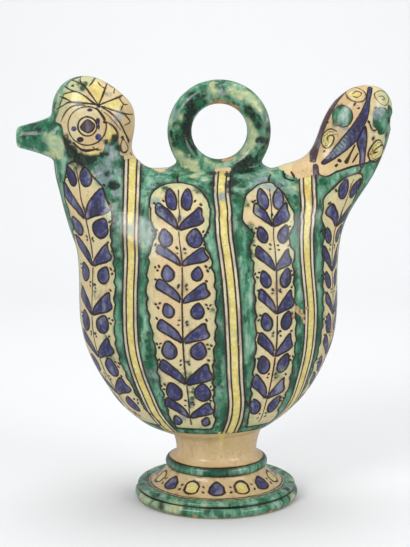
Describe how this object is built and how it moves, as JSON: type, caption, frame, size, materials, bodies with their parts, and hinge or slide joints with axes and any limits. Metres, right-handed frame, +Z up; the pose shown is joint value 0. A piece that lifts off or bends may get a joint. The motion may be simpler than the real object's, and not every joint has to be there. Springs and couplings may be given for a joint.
{
  "type": "zoomorphic jug",
  "caption": "Cockerel-shaped pouring jug of glazed earthenware, hollow, with a beak spout, a tail, a ring handle on its back and a turned pedestal foot.",
  "frame": {"origin": "on the surface that the foot rests on, under the middle of the jug's whole length and width", "axes": "+Z up, +X from the beak towards the tail, +Y to the side that the picture hides"},
  "size_m": [0.3047, 0.138, 0.35],
  "materials": {
    "glazed_earthenware": "glossy lead glaze over a painted cream ground in green, cobalt blue, yellow and manganese brown"
  },
  "bodies": {
    "root": {"jug": "glazed_earthenware"}
  },
  "joints": []
}
